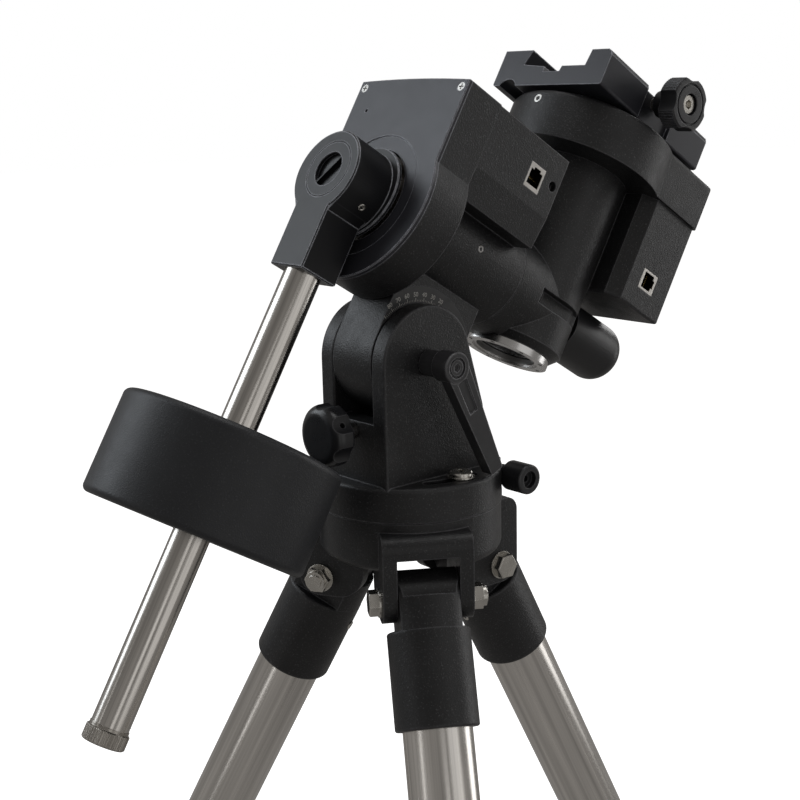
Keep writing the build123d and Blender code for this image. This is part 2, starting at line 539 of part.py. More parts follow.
# the slot along the side, level with the polar axis
dec -= box(20.5, 40, -4.6, 4.6, -110, -49)
dec += (box(20, 25.5, -5.5, 5.5, -93, -48) & cy(COL_R - 3, -20, 20, z=S_DEC)) - cy(24.5, -40, 40, z=S_DEC)
# opening for the drive socket
DP_S0, DP_S1, DP_T0, DP_T1 = -123.4, -109.1, 34.9, 47.2
dec -= box(40, 46, DP_T0, DP_T1, DP_S0, DP_S1)
dec = dec.solids().sort_by(SortBy.VOLUME)[-1]
put_ra("dec_housing", dec)

# gear case on top of the column, with its square extension over the drive box
# the outline in the plane across the declination axis, extruded along it
k0 = math.sqrt(DHEAD_R ** 2 - DEXT_HW ** 2)
oc = [
    ThreePointArc((DEXT_HW, 0, S_DEC - k0), (0, 0, S_DEC + DHEAD_R), (-DEXT_HW, 0, S_DEC - k0)),
    Line((-DEXT_HW, 0, S_DEC - k0), (-DEXT_HW, 0, DEXT_S + 2)),
    Line((-DEXT_HW, 0, DEXT_S + 2), (-DEXT_HW + 2, 0, DEXT_S)),
    Line((-DEXT_HW + 2, 0, DEXT_S), (DEXT_HW - 2, 0, DEXT_S)),
    Line((DEXT_HW - 2, 0, DEXT_S), (DEXT_HW, 0, DEXT_S + 2)),
    Line((DEXT_HW, 0, DEXT_S + 2), (DEXT_HW, 0, S_DEC - k0)),
]
dh = Pos(0, DHEAD_LO, 0) * extrude(make_face(Wire(oc)), DHEAD_HI - DHEAD_LO, dir=(0, 1, 0))
dh = soft(dh, [e for e in dh.edges() if abs(e.center().Y - DHEAD_HI) < 0.05], 3.0)
cav = cy(48.2, DHEAD_LO + 3.2, DHEAD_HI - 5, z=S_DEC) + box(-42.3, 42.3, DHEAD_LO + 1.3, DHEAD_HI - 5, DEXT_S + 3.7, S_DEC - 30)
dh = dh - cav
dh = dh - cy(SHAFT_R + 2, DHEAD_LO - 1, DHEAD_HI + 1, z=S_DEC)
dh = dh.solids().sort_by(SortBy.VOLUME)[-1]
print("dec_head", round(dh.volume))
put_ra("dec_head", dh)

# machined ring that closes the foot of the column
rg = cy(RING_R, RING_T, COL_BOT, z=S_DEC) - cy(18.4, RING_T - 1, COL_BOT + 1, z=S_DEC)
rg -= cy(20.6, RING_T - 1, RING_T + 1.2, z=S_DEC)
for i in range(8):
    a = math.radians(22.5 + 45 * i)
    rg -= cy(1.5, RING_T - 1, RING_T + 3, x=23.6 * math.cos(a), z=S_DEC + 23.6 * math.sin(a))
put_ra("dec_ring", rg)

# round-ended cover over the lower end of the polar axis
cap = cz(18.2, -153.4, -100.0)
cap = soft(cap, [e for e in circles(cap, 18.2) if e.center().Z < -150], 13.0)
cap -= cz(15.8, -140, -95)
cap -= cy(COL_R, -40, 40, z=S_DEC)
cap = cap.solids().sort_by(SortBy.VOLUME)[-1]
put_ra("rear_cap", cap)

dp = box(36, 44.0, DP_T0, DP_T1, DP_S0, DP_S1)
dp -= box(37, 46, DP_T0 + 1.3, DP_T1 - 1.3, DP_S0 + 3.2, DP_S1 - 2.2)
dp -= box(37, 46, DP_T0 + 3.6, DP_T1 - 3.6, DP_S0 + 1.7, DP_S0 + 4)
put_ra("dec_port", dp)

DW_T, DW_S = 99.7, S_DEC - 50.2
dm = cx(10.2, 25.2, 40.7, DW_T, DW_S) - cx(2.06, 24, 31, DW_T, DW_S)
put_ra("dec_motor", dm)
dw = Pos(0, DW_T, DW_S) * grooved(6.0, 5.0, -16, 16, 2.0) + cx(2.0, -24, 30.6, DW_T, DW_S)
put_ra("dec_worm", dw)
dbr = []
for t0, t1 in ((COL_BOT + 5.6, COL_BOT + 17.6), (DHEAD_LO - 12, DHEAD_LO)):
    b = cy(28.5, t0, t1, z=S_DEC) - cy(SHAFT_R + 0.05, t0 - 1, t1 + 1, z=S_DEC)
    dbr.append(b)
put_ra("dec_bearings", *dbr)

# ---------------------------------------------------------------- declination axis and saddle
dsh = cy(SHAFT_R, COL_BOT + 0.6, SAD_LO, z=S_DEC) - cy(16.5, COL_BOT - 1, SAD_LO - 3, z=S_DEC)
put_ra("dec_shaft", dsh)
dg = Rot(-90, 0, 0) * gear(42.6, 43.7, 144, SHAFT_R, 13.0, 93.2)
put_ra("dec_worm_wheel", Pos(0, 0, S_DEC) * dg)

JAW0, JAW1 = S_DEC - 12.6, S_DEC + 12.6
sec = [(-44.3, SAD_LO), (SAD_HW, SAD_LO), (SAD_HW, SAD_HI - 5.0), (SAD_HW - 1.2, SAD_HI - 2.5), (SAD_HW - 3.6, SAD_HI - 1.2), (26.3, SAD_HI - 1.2), (25.2, SAD_FLOOR),
       (7.2, SAD_FLOOR), (6.4, SAD_FLOOR - 3.4), (-6.4, SAD_FLOOR - 3.4), (-7.2, SAD_FLOOR), (-24.6, SAD_FLOOR + 1.6), (-21.4, SAD_HI), (-44.3, SAD_HI)]
sad = extrude(make_face(Polyline(*[(p[0], p[1], SAD_S1) for p in sec], close=True)), SAD_S0 - SAD_S1, dir=(0, 0, 1))
sad = soft(sad, [e for e in sad.edges().filter_by(Axis.Z) if abs(e.center().Y - SAD_LO) < 0.01], 1.5)
# window in the right-hand rail for the sliding jaw, with the outer bridge left in place
sad -= box(24, 36.4, SAD_FLOOR, SAD_HI + 1, JAW0 - 0.4, JAW1 + 0.4)
sad -= box(36.0, SAD_HW + 1, SAD_HI - 4.5, SAD_HI + 1, JAW0 - 0.4, JAW1 + 0.4)
sad -= box(SAD_HW - 3.0, SAD_HW + 1, SAD_LO - 1, SAD_HI + 1, JAW0 - 4, JAW1 + 0.4)
# rounded relief under the upper end of the left rail
sad -= cz(7.5, SAD_S0 - 20, SAD_S0 + 1, -32, SAD_LO - 3.2)
sad -= cx(4.06, 27.5, SAD_HW + 2, KNOB_T, S_DEC)
sad = sad.solids().sort_by(SortBy.VOLUME)[-1]
put_ra("saddle", sad)

jaw = prism_z([(25.8, SAD_FLOOR + 0.4), (31.6, SAD_FLOOR + 0.4), (31.6, SAD_HI - 1.4), (28.0, SAD_HI - 1.4)], JAW0, JAW1)
jaw -= cx(2.5, 29.5, 33, KNOB_T, S_DEC)
put_ra("saddle_jaw", jaw)

screw = cx(4.0, 32.0, 60.0, KNOB_T, S_DEC) + cx(2.45, 29.7, 33, KNOB_T, S_DEC)
screw += cx(5.2, 60.0, 64.6, KNOB_T, S_DEC) - Pos(61.6, KNOB_T, S_DEC) * Rot(0, 90, 0) * hex_prism(5, 5)
put_ra("saddle_clamp_screw", screw)
kn = cx(15.7, 54.2, 66.0)
kn = cham(kn, [e for e in circles(kn, 15.7) if e.center().X > 65], 1.0)
kn = cham(kn, [e for e in circles(kn, 15.7) if e.center().X < 55], 0.6)
for i in range(4):
    a = math.radians(20 + 90 * i)
    kn -= cx(13.0, 50, 70, 26.2 * math.cos(a), 26.2 * math.sin(a))
for i in range(4):
    for j in range(-3, 4):
        a = math.radians(65 + 90 * i + j * 6.6)
        kn -= cx(0.55, 50, 65.0, 15.9 * math.cos(a), 15.9 * math.sin(a))
kn -= cx(12.0, 65.0, 67) - cx(10.8, 64, 68)
kn -= cx(6.2, 60.0, 67)
kn -= cx(4.0, 50, 62)
kn += cx(8.0, SAD_HW + 1.6, 54.4) - cx(4.0, SAD_HW, 56)
put_ra("saddle_knob", Pos(0, KNOB_T, S_DEC) * kn)

# ---------------------------------------------------------------- counterweight
csh = cy(CW_SHAFT_R, SHAFT_END, -25.0, z=CW_S)
csh = cham(csh, circles(csh, CW_SHAFT_R), 0.8)
put_ra("counterweight_shaft", csh)
cw = cy(CW_R, CW_BOT, CW_TOP, z=CW_S)
cw = soft(cw, circles(cw, CW_R), 3.6)
cw -= cy(CW_SHAFT_R + 0.06, CW_BOT - 1, CW_TOP + 1, z=CW_S)
cw = cham(cw, circles(cw, CW_SHAFT_R + 0.06), 1.0)
cw -= cx(3.06, -70, -5, (CW_TOP + CW_BOT) / 2, CW_S)
put_ra("counterweight", cw)
cs = cx(3.0, -66, -10.6) + cx(8.5, -74.5, -60.8)
cs = soft(cs, circles(cs, 8.5), 1.2)
put_ra("counterweight_lock_screw", Pos(0, (CW_TOP + CW_BOT) / 2, CW_S) * cs)
cp = cy(10.4, SHAFT_END - 0.8, SHAFT_END + 1.0) + cy(11.4, SHAFT_END - 8.6, SHAFT_END - 0.6)
cp = cham(cp, [e for e in circles(cp, 11.4)], 0.7)
n = 56
pts = []
for i in range(n):
    a = 2 * math.pi * i / n
    pts += [(11.5 * math.cos(a), 11.5 * math.sin(a)), (11.1 * math.cos(a + math.pi / n), 11.1 * math.sin(a + math.pi / n))]
cp = cp & prism_y(pts, SHAFT_END - 12, SHAFT_END + 4)
cp -= cy(CW_SHAFT_R, SHAFT_END, SHAFT_END + 4)
put_ra("safety_cap", Pos(0, 0, CW_S) * cp)
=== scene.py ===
import bpy, bmesh, json, math
from mathutils import Vector, Matrix


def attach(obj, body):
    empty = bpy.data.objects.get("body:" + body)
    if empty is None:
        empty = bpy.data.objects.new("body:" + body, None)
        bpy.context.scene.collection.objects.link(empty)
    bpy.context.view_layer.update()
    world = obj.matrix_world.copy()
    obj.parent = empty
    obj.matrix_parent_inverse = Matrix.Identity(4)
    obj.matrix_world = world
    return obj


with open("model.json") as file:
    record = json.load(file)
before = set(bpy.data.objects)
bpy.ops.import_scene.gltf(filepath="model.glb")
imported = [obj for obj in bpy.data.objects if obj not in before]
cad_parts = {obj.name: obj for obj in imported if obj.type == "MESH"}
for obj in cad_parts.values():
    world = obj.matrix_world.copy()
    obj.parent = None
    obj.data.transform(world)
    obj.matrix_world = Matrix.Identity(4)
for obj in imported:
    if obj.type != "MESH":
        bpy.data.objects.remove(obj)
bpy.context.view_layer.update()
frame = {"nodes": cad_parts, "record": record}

nodes = frame["nodes"]
scene = bpy.context.scene

# ------------------------------------------------------------------ camera
AZ, EL, ROLL = math.radians(49.7169), math.radians(12.4130), math.radians(-1.3264)
back = Vector((math.sin(AZ) * math.cos(EL), -math.cos(AZ) * math.cos(EL), math.sin(EL)))
right = Vector((math.cos(AZ), math.sin(AZ), 0))
up = back.cross(right)
target = Vector((0, 0, 0.66 + 0.0570876)) + right * -0.0046218
r2 = right * math.cos(ROLL) + up * math.sin(ROLL)
u2 = -right * math.sin(ROLL) + up * math.cos(ROLL)
cam_data = bpy.data.cameras.new("camera")
cam_data.sensor_width = 36.0
cam_data.lens = 1425.499 / 800 * 36.0
cam_data.clip_start, cam_data.clip_end = 0.05, 60
cam = bpy.data.objects.new("camera", cam_data)
scene.collection.objects.link(cam)
loc = target + back * 0.805327
cam.matrix_world = Matrix(((r2.x, u2.x, back.x, loc.x), (r2.y, u2.y, back.y, loc.y), (r2.z, u2.z, back.z, loc.z), (0, 0, 0, 1)))
scene.camera = cam

# ------------------------------------------------------------------ frames of the object, metres
PHI = math.radians(31.35)
A_AX = Vector((0, -math.cos(PHI), math.sin(PHI)))
U_AX = Vector((0, math.sin(PHI), math.cos(PHI)))
E_AX = Vector((1, 0, 0))
ALT = Vector((0, -0.0118, 0.7443))
RA_O = ALT + U_AX * 0.0688 - A_AX * 0.0116


def ra(e, t, s):
    """A point of the polar frame, given in millimetres, in metres of the row frame."""
    return RA_O + E_AX * (e / 1000) + U_AX * (t / 1000) + A_AX * (s / 1000)


# ------------------------------------------------------------------ materials
def new_mat(name):
    m = bpy.data.materials.new(name)
    m.use_nodes = True
    nt = m.node_tree
    nt.nodes.clear()
    out = nt.nodes.new("ShaderNodeOutputMaterial")
    b = nt.nodes.new("ShaderNodeBsdfPrincipled")
    nt.links.new(b.outputs[0], out.inputs[0])
    return m, nt, b


def tex_noise(nt, vec, scale, detail=4.0, rough=0.55):
    n = nt.nodes.new("ShaderNodeTexNoise")
    n.inputs["Scale"].default_value = scale
    n.inputs["Detail"].default_value = detail
    n.inputs["Roughness"].default_value = rough
    nt.links.new(vec, n.inputs["Vector"])
    return n.outputs["Fac"]


def remap(nt, val, a0, a1, b0, b1):
    n = nt.nodes.new("ShaderNodeMapRange")
    n.inputs["From Min"].default_value, n.inputs["From Max"].default_value = a0, a1
    n.inputs["To Min"].default_value, n.inputs["To Max"].default_value = b0, b1
    nt.links.new(val, n.inputs["Value"])
    return n.outputs["Result"]


def mix_col(nt, fac, a, b):
    n = nt.nodes.new("ShaderNodeMix")
    n.data_type = "RGBA"
    nt.links.new(fac, n.inputs["Factor"])
    for sock, v in ((n.inputs[6], a), (n.inputs[7], b)):
        if isinstance(v, bpy.types.NodeSocket):
            nt.links.new(v, sock)
        else:
            sock.default_value = (*v, 1)
    return n.outputs[2]


def math_node(nt, op, a, b=None, clamp=False):
    n = nt.nodes.new("ShaderNodeMath")
    n.operation = op
    n.use_clamp = clamp
    for i, v in enumerate((a, b)):
        if v is None:
            continue
        if isinstance(v, bpy.types.NodeSocket):
            nt.links.new(v, n.inputs[i])
        else:
            n.inputs[i].default_value = v
    return n.outputs[0]


def edge_highlight_mask(nt, bevel_normal, gain=14.0):
    """Bright only where the rounded normal leaves the true one, along edges: the mask of the painted highlights along
    edges.
    """
    g = nt.nodes.new("ShaderNodeNewGeometry")
    d = nt.nodes.new("ShaderNodeVectorMath")
    d.operation = "DOT_PRODUCT"
    nt.links.new(bevel_normal, d.inputs[0])
    nt.links.new(g.outputs["True Normal"], d.inputs[1])
    return remap(nt, d.outputs["Value"], 1.0, 1.0 - 1.0 / gain, 0.0, 1.0)


def surface(name, color, rough, metallic=0.0, spec=0.5, grain=1400.0, bump=0.12, mottle=0.12, mottle_scale=60.0,
            rough_var=0.08, edge_highlight_col=None, edge_highlight_fac=0.5, bevel=0.0006, coat=0.0, coat_rough=0.2, depth=0.0002, aniso=0.0, speck=0.0):
    m, nt, b = new_mat(name)
    tc = nt.nodes.new("ShaderNodeTexCoord").outputs["Object"]
    fine = tex_noise(nt, tc, grain, 2.0)
    big = tex_noise(nt, tc, mottle_scale, 5.0)
    dark = tuple(c * (1 - mottle) for c in color)
    light = tuple(min(1, c * (1 + mottle)) for c in color)
    col = mix_col(nt, remap(nt, big, 0.3, 0.7, 0, 1), dark, light)
    if speck:
        sp = remap(nt, fine, 0.60, 0.72, 0.0, speck)
        col = mix_col(nt, sp, col, tuple(min(1, c * 2.6 + 0.03) for c in color))
    bv = nt.nodes.new("ShaderNodeBevel")
    bv.samples = 4
    bv.inputs["Radius"].default_value = bevel
    # painted highlight: a light colour is mixed into the base along all edges, standing in for the lamps' glint on
    # rounded edges; on the castings and the weight it also stands for worn edges
    if edge_highlight_col:
        e = edge_highlight_mask(nt, bv.outputs[0])
        highlight_and_wear_noise = tex_noise(nt, tc, 260.0, 3.0)
        e = math_node(nt, "MULTIPLY", e, remap(nt, highlight_and_wear_noise, 0.35, 0.65, edge_highlight_fac * 0.6, edge_highlight_fac))
        col = mix_col(nt, e, col, edge_highlight_col)
    nt.links.new(col, b.inputs["Base Color"])
    nt.links.new(remap(nt, tex_noise(nt, tc, mottle_scale * 2.3, 4.0), 0.3, 0.7, max(0.02, rough - rough_var), rough + rough_var), b.inputs["Roughness"])
    b.inputs["Metallic"].default_value = metallic
    b.inputs["Specular IOR Level"].default_value = spec
    b.inputs["Coat Weight"].default_value = coat
    b.inputs["Coat Roughness"].default_value = coat_rough
    b.inputs["Anisotropic"].default_value = aniso
    bp = nt.nodes.new("ShaderNodeBump")
    bp.inputs["Strength"].default_value = bump
    bp.inputs["Distance"].default_value = depth
    nt.links.new(fine, bp.inputs["Height"])
    nt.links.new(bv.outputs[0], bp.inputs["Normal"])
    nt.links.new(bp.outputs[0], b.inputs["Normal"])
    return m


def drawn_steel(name, axis, color=(0.80, 0.79, 0.77), rough=0.16, streak=0.10, across=420.0):
    """Bright steel tube or bar: fine lines drawn along its axis."""
    m, nt, b = new_mat(name)
    tc = nt.nodes.new("ShaderNodeTexCoord").outputs["Object"]
    ax = Vector(axis).normalized()
    ux = ax.orthogonal().normalized()
    uy = ax.cross(ux)
    comb = nt.nodes.new("ShaderNodeCombineXYZ")
    for i, (v, k) in enumerate(((ux, across), (uy, across), (ax, 3.0))):
        d = nt.nodes.new("ShaderNodeVectorMath")
        d.operation = "DOT_PRODUCT"
        nt.links.new(tc, d.inputs[0])
        d.inputs[1].default_value = v * k
        nt.links.new(d.outputs["Value"], comb.inputs[i])
    lines = tex_noise(nt, comb.outputs[0], 1.0, 3.0, 0.6)
    soft = tex_noise(nt, tc, 26.0, 3.0)
    col = mix_col(nt, remap(nt, lines, 0.25, 0.75, 0, 1), tuple(c * (1 - streak) for c in color), tuple(min(1, c * (1 + streak * 0.5)) for c in color))
    nt.links.new(col, b.inputs["Base Color"])
    r = math_node(nt, "ADD", remap(nt, lines, 0.2, 0.8, rough * 0.6, rough * 1.4), remap(nt, soft, 0.3, 0.7, -0.02, 0.03))
    nt.links.new(r, b.inputs["Roughness"])
    b.inputs["Metallic"].default_value = 1.0
    bp = nt.nodes.new("ShaderNodeBump")
    bp.inputs["Strength"].default_value = 0.05
    bp.inputs["Distance"].default_value = 0.0001
    nt.links.new(lines, bp.inputs["Height"])
    bv = nt.nodes.new("ShaderNodeBevel")
    bv.samples = 4
    bv.inputs["Radius"].default_value = 0.0005
    nt.links.new(bv.outputs[0], bp.inputs["Normal"])
    nt.links.new(bp.outputs[0], b.inputs["Normal"])
    return m


def turned(name, origin, axis, color, rough=0.25, rings=2600.0, metallic=1.0):
    """A face turned on a lathe: fine rings about an axis."""
    m, nt, b = new_mat(name)
    tc = nt.nodes.new("ShaderNodeTexCoord").outputs["Object"]
    sub = nt.nodes.new("ShaderNodeVectorMath")
    sub.operation = "SUBTRACT"
    nt.links.new(tc, sub.inputs[0])
    sub.inputs[1].default_value = origin
    cr = nt.nodes.new("ShaderNodeVectorMath")
    cr.operation = "CROSS_PRODUCT"
    nt.links.new(sub.outputs[0], cr.inputs[0])
    cr.inputs[1].default_value = Vector(axis).normalized()
    ln = nt.nodes.new("ShaderNodeVectorMath")
    ln.operation = "LENGTH"
    nt.links.new(cr.outputs[0], ln.inputs[0])
    ring = math_node(nt, "SINE", math_node(nt, "MULTIPLY", ln.outputs["Value"], rings * 2))
    mott = tex_noise(nt, tc, 90.0, 4.0)
    nt.links.new(mix_col(nt, remap(nt, mott, 0.3, 0.7, 0, 1), tuple(c * 0.9 for c in color), color), b.inputs["Base Color"])
    nt.links.new(remap(nt, ring, -1, 1, rough * 0.7, rough * 1.3), b.inputs["Roughness"])
    b.inputs["Metallic"].default_value = metallic
    bv = nt.nodes.new("ShaderNodeBevel")
    bv.samples = 4
    bv.inputs["Radius"].default_value = 0.0004
    bp = nt.nodes.new("ShaderNodeBump")
    bp.inputs["Strength"].default_value = 0.08
    bp.inputs["Distance"].default_value = 0.00005
    nt.links.new(ring, bp.inputs["Height"])
    nt.links.new(bv.outputs[0], bp.inputs["Normal"])
    nt.links.new(bp.outputs[0], b.inputs["Normal"])
    return m


# Painted highlights along edges: the light colours given for edges below are painted there in place of the lamps'
# glint; for the castings and the weight that colour stands partly for worn edges, partly for a painted highlight.
EDGE_WEAR_AND_HIGHLIGHT = (0.26, 0.26, 0.28)
mats = {
    "casting_black": surface("powder_coat", (0.0115, 0.0116, 0.0124), 0.40, spec=0.42, grain=1150, bump=0.85, depth=0.00024, mottle=0.20, rough_var=0.05, edge_highlight_col=EDGE_WEAR_AND_HIGHLIGHT, edge_highlight_fac=0.5, bevel=0.0011, speck=1.0),
    "anodised_grey": surface("satin_grey", (0.024, 0.0245, 0.030), 0.34, metallic=0.22, spec=0.50, grain=3000, bump=0.14, depth=0.00005, mottle=0.05, rough_var=0.02, edge_highlight_col=(0.55, 0.56, 0.62), edge_highlight_fac=0.9, bevel=0.0009),
    "gloss_black": surface("anodised_black", (0.0085, 0.0087, 0.0102), 0.33, metallic=0.0, spec=0.27, grain=4200, bump=0.05, depth=0.00004, mottle=0.06, rough_var=0.015, mottle_scale=90.0, edge_highlight_col=(0.62, 0.64, 0.70), edge_highlight_fac=0.95, bevel=0.0009),
    "weight_black": surface("weight_paint", (0.0150, 0.0160, 0.0184), 0.46, spec=0.40, grain=1250, bump=0.75, depth=0.00020, mottle=0.07, rough_var=0.03, edge_highlight_col=EDGE_WEAR_AND_HIGHLIGHT, edge_highlight_fac=0.4, bevel=0.0012, speck=0.35),
    "zinc_steel": surface("bright_screw", (0.56, 0.54, 0.50), 0.24, metallic=1.0, grain=3500, bump=0.08, depth=0.00004, mottle=0.14, edge_highlight_col=(0.85, 0.83, 0.78), edge_highlight_fac=0.6, bevel=0.0003),
    "steel": surface("ground_steel", (0.36, 0.35, 0.34), 0.30, metallic=1.0, grain=3500, bump=0.10, depth=0.00004, mottle=0.12, edge_highlight_col=(0.6, 0.6, 0.6), edge_highlight_fac=0.5, bevel=0.0003),
    "aluminium": surface("bare_aluminium", (0.62, 0.62, 0.63), 0.27, metallic=1.0, grain=3500, bump=0.06, depth=0.00004, mottle=0.08, edge_highlight_col=(0.85, 0.85, 0.86), edge_highlight_fac=0.5, bevel=0.0004),
    "brass": surface("machined_brass", (0.62, 0.47, 0.22), 0.28, metallic=1.0, grain=3500, bump=0.06, depth=0.00004, bevel=0.0002),
    "black_plastic": surface("moulded_plastic", (0.0125, 0.0126, 0.0138), 0.36, spec=0.45, grain=1600, bump=0.3, depth=0.00009, mottle=0.12, rough_var=0.04, edge_highlight_col=(0.30, 0.30, 0.32), edge_highlight_fac=0.5, bevel=0.0009),
    "knob_plastic": surface("knob_plastic", (0.0135, 0.0138, 0.0155), 0.30, spec=0.5, grain=2600, bump=0.12, depth=0.00005, mottle=0.10, rough_var=0.04, edge_highlight_col=(0.26, 0.26, 0.28), edge_highlight_fac=0.4, bevel=0.0008),
    "board_green": surface("board", (0.02, 0.10, 0.045), 0.3, bump=0.05, bevel=0.0002),
    "lens_black": surface("window", (0.006, 0.006, 0.007), 0.30, spec=0.25, grain=6000, bump=0.03, depth=0.00002, mottle=0.1, bevel=0.0002),
    "scale_plate": surface("scale_ring", (0.030, 0.030, 0.031), 0.36, grain=3600, bump=0.14, depth=0.00005, mottle=0.1, bevel=0.0002),
    "rubber": surface("rubber", (0.012, 0.012, 0.0125), 0.75, grain=1800, bump=0.35, depth=0.0001, mottle=0.15, bevel=0.001),
}
rec = frame["record"]
slot_of = {sp["node"]: sp["material_slot"] for sp in rec["subparts"]}
special = {}


def dark_inside(m, x0):
    """Darkens everything behind the plane x0, for the plastic inside a metal shell."""
    nt = m.node_tree
    b = [n for n in nt.nodes if n.type == "BSDF_PRINCIPLED"][0]
    old = b.inputs["Base Color"].links[0].from_socket
    sep = nt.nodes.new("ShaderNodeSeparateXYZ")
    nt.links.new(nt.nodes.new("ShaderNodeTexCoord").outputs["Object"], sep.inputs[0])
    nt.links.new(mix_col(nt, remap(nt, sep.outputs["X"], x0 - 0.0002, x0 + 0.0002, 0.0, 1.0), (0.014, 0.014, 0.015), old), b.inputs["Base Color"])


# the light colour along the lever's edges is a painted highlight
special["altitude_lock_lever"] = surface("lever_plastic", (0.028, 0.028, 0.030), 0.34, spec=0.5, grain=1600, bump=0.25, depth=0.00008, mottle=0.12, rough_var=0.04, edge_highlight_col=(0.40, 0.40, 0.42), edge_highlight_fac=0.7, bevel=0.0009)
special["counterweight_shaft"] = drawn_steel("shaft_steel", U_AX, (0.66, 0.63, 0.59), 0.20, 0.45, 420.0)
for n, az in ((1, 58.1), (2, 178.1), (3, 298.1)):
    d, b_ = math.radians(az), math.radians(27.4)
    leg_ax = Vector((math.sin(d) * math.sin(b_), -math.cos(d) * math.sin(b_), -math.cos(b_)))
    m_leg = drawn_steel("leg_steel_%d" % n, leg_ax, (0.76, 0.73, 0.69), 0.22, 0.34, 260.0)
    special["leg_%d_tube" % n] = m_leg
    special["leg_%d_lower_tube" % n] = m_leg
special["dec_ring"] = turned("turned_ring", ra(0, -30, -69.7), U_AX, (0.62, 0.61, 0.60))
special["ra_worm_wheel"] = surface("dark_bronze", (0.045, 0.036, 0.026), 0.42, metallic=0.6, grain=3000, bump=0.08, depth=0.00004, mottle=0.15, bevel=0.0003)
special["hand_control_port"] = special["dec_port"] = surface("tinned_shell", (0.66, 0.635, 0.60), 0.34, metallic=0.8, grain=4000, bump=0.04, depth=0.00003, mottle=0.05, rough_var=0.03, bevel=0.0003)
dark_inside(special["dec_port"], 0.0435)
# the light colour along the plate screws' edges is a painted highlight
special["plate_screws"] = surface("plate_screw_steel", (0.40, 0.39, 0.37), 0.30, metallic=1.0, grain=3500, bump=0.08, depth=0.00004, mottle=0.16, edge_highlight_col=(0.7, 0.68, 0.64), edge_highlight_fac=0.5, bevel=0.0002)
special["safety_cap"] = drawn_steel("cap_steel", U_AX, (0.40, 0.375, 0.34), 0.25)
for name, ob in nodes.items():
    m = special.get(name) or mats.get(slot_of.get(name))
    for sl in ob.material_slots:
        sl.material = m
    if not ob.material_slots:
        ob.data.materials.append(m)


# ------------------------------------------------------------------ small pieces
def add_piece(name, verts, faces, mat, body, smooth=False):
    me = bpy.data.meshes.new(name)
    me.from_pydata([tuple(v) for v in verts], [], faces)
    me.update()
    bm = bmesh.new()
    bm.from_mesh(me)
    bmesh.ops.recalc_face_normals(bm, faces=bm.faces)
    bm.to_mesh(me)
    bm.free()
    for p in me.polygons:
        p.use_smooth = smooth
    o = bpy.data.objects.new(name, me)
    o.data.materials.append(mat)
    scene.collection.objects.link(o)
    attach(o, body)
    return o


def basis(axis):
    z = Vector(axis).normalized()
    x = z.orthogonal().normalized()
    return x, z.cross(x), z


def socket_screw(name, top, axis, r, h, hexr, body, mat, cham=0.00025):
    """A set screw seen from its end: chamfered rim and a hexagonal recess. Lengths in metres; top is the middle of its outer face."""
    x, y, z = basis(axis)
    n = 36
    rings = []

    def ring(rad, depth, hexagon=False):
        out = []
        for i in range(n):
            q = 2 * math.pi * i / n
            rr = rad
            if hexagon:
                k = (q % (math.pi / 3)) - math.pi / 6
                rr = rad * math.cos(math.pi / 6) / math.cos(k)
            out.append(Vector(top) + x * (rr * math.cos(q)) + y * (rr * math.sin(q)) - z * depth)
        return out
    rings = [ring(r, h), ring(r, cham), ring(r - cham, 0), ring(hexr * 1.18, 0), ring(hexr, 0.00018, True), ring(hexr, h * 0.6, True)]
    verts, faces = [], []
    for g in rings:
        verts += g
    for k in range(len(rings) - 1):
        for i in range(n):
            j = (i + 1) % n
            faces.append((k * n + i, k * n + j, (k + 1) * n + j, (k + 1) * n + i))
    faces.append(tuple(range(n)))
    faces.append(tuple((len(rings) - 1) * n + i for i in range(n)))
    return add_piece(name, verts, faces, mat, body)


# latitude scale: marks every two degrees, longer every ten, with figures
PAINT = surface("scale_paint", (0.42, 0.41, 0.38), 0.5, grain=3000, bump=0.1, depth=0.00003, mottle=0.15, bevel=0.00005)
XS, XT = 0.01980, 0.01990
mv, mf = [], []


def on_side(theta, r, off=0.0):
    q = math.radians(theta)
    rad = Vector((0, -math.cos(q), math.sin(q)))
    tan = Vector((0, math.sin(q), math.cos(q)))
    return Vector((0, ALT.y, ALT.z)) + rad * r + tan * off


def mark(theta, r0, r1, w):
    b0 = len(mv)
    ring = [on_side(theta, r0, -w / 2), on_side(theta, r0, w / 2), on_side(theta, r1, w / 2), on_side(theta, r1, -w / 2)]
    for xx in (XS, XT):
        for v in ring:
            mv.append((xx, v.y, v.z))
    mf.extend([(b0, b0 + 1, b0 + 2, b0 + 3), (b0 + 4, b0 + 7, b0 + 6, b0 + 5)])
    for k in range(4):
        l = (k + 1) % 4
        mf.append((b0 + k, b0 + 4 + k, b0 + 4 + l, b0 + l))


